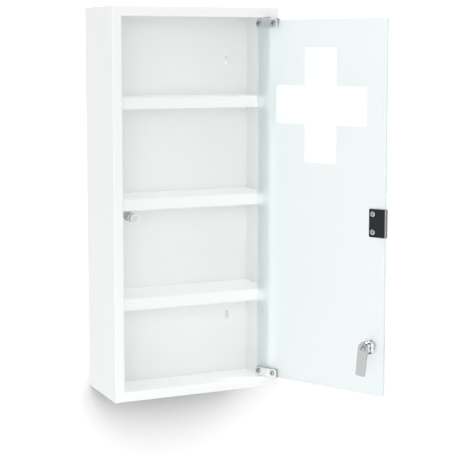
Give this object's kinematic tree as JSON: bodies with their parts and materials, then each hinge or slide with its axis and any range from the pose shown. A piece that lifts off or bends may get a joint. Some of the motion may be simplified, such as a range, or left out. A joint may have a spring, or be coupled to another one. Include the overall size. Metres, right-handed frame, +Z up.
{
  "type": "wall medicine cabinet",
  "caption": "Wall-hung white steel medicine cabinet with fixed shelves, an inset frosted glass door on pivot hinges, a magnetic touch latch and a cam lock.",
  "frame": {"origin": "centre of the four keyholes, on the rear face of the back panel; the rear rim that meets the wall stands 8 mm behind it", "axes": "+X to the right seen from the front, +Y into the wall, +Z up; the front frame faces -Y"},
  "size_m": [0.3558, 0.327, 0.6],
  "materials": {
    "white_powder_coat": "white powder coat",
    "frosted_glass": "lightly frosted float glass",
    "bright_chrome": "bright plated",
    "satin_nickel": "satin plated",
    "zinc_steel": "zinc plated",
    "brushed_cam_steel": "brushed",
    "black_enamel": "black satin enamel",
    "white_nylon": "moulded",
    "clear_soft_pad": "soft vinyl"
  },
  "bodies": {
    "cabinet": {"left_side_panel": "white_powder_coat", "right_side_panel": "white_powder_coat", "top_panel": "white_powder_coat", "bottom_panel": "white_powder_coat", "back_panel": "white_powder_coat", "upper_shelf": "white_powder_coat", "middle_shelf": "white_powder_coat", "lower_shelf": "white_powder_coat", "latch_bracket": "white_powder_coat", "top_pivot_bush": "white_nylon", "bottom_pivot_bush": "white_nylon", "latch_barrel": "bright_chrome", "latch_end_cap": "bright_chrome", "latch_nut": "zinc_steel", "latch_spring": "zinc_steel"},
    "door": {"door_glass": "frosted_glass", "top_hinge_clip": "satin_nickel", "bottom_hinge_clip": "satin_nickel", "top_clip_pads": "clear_soft_pad", "bottom_clip_pads": "clear_soft_pad", "top_clip_screws": "zinc_steel", "bottom_clip_screws": "zinc_steel", "top_pivot_pin": "zinc_steel", "bottom_pivot_pin": "zinc_steel", "strike_clip": "satin_nickel", "strike_plate": "black_enamel", "strike_pads": "clear_soft_pad", "strike_screws": "zinc_steel", "lock_housing": "bright_chrome", "lock_nut": "bright_chrome", "soft_lock_washer": "clear_soft_pad", "inner_lock_washer": "zinc_steel"},
    "lock": {"lock_plug": "bright_chrome", "lock_cam": "brushed_cam_steel", "cam_washer": "zinc_steel", "cam_screw": "zinc_steel"},
    "latch_button": {"latch_plunger": "white_nylon", "latch_magnet": "satin_nickel"}
  },
  "joints": [
    {"name": "door_hinge", "type": "hinge", "parent": "cabinet", "child": "door", "pos_m": [0.1121, -0.108, 0], "axis": [0, 0, 1], "range_deg": [-116, 1]},
    {"name": "lock_turn", "type": "hinge", "parent": "door", "child": "lock", "pos_m": [0.20067, -0.29244, -0.212], "axis": [-0.8988, -0.4384, 0], "range_deg": [0, 90]},
    {"name": "latch_push", "type": "slide", "parent": "cabinet", "child": "latch_button", "axis": [0, 1, 0], "range_m": [0, 0.004], "stiffness_N_per_m": 250, "springref_m": -0.008, "deforming": ["latch_spring"]}
  ]
}
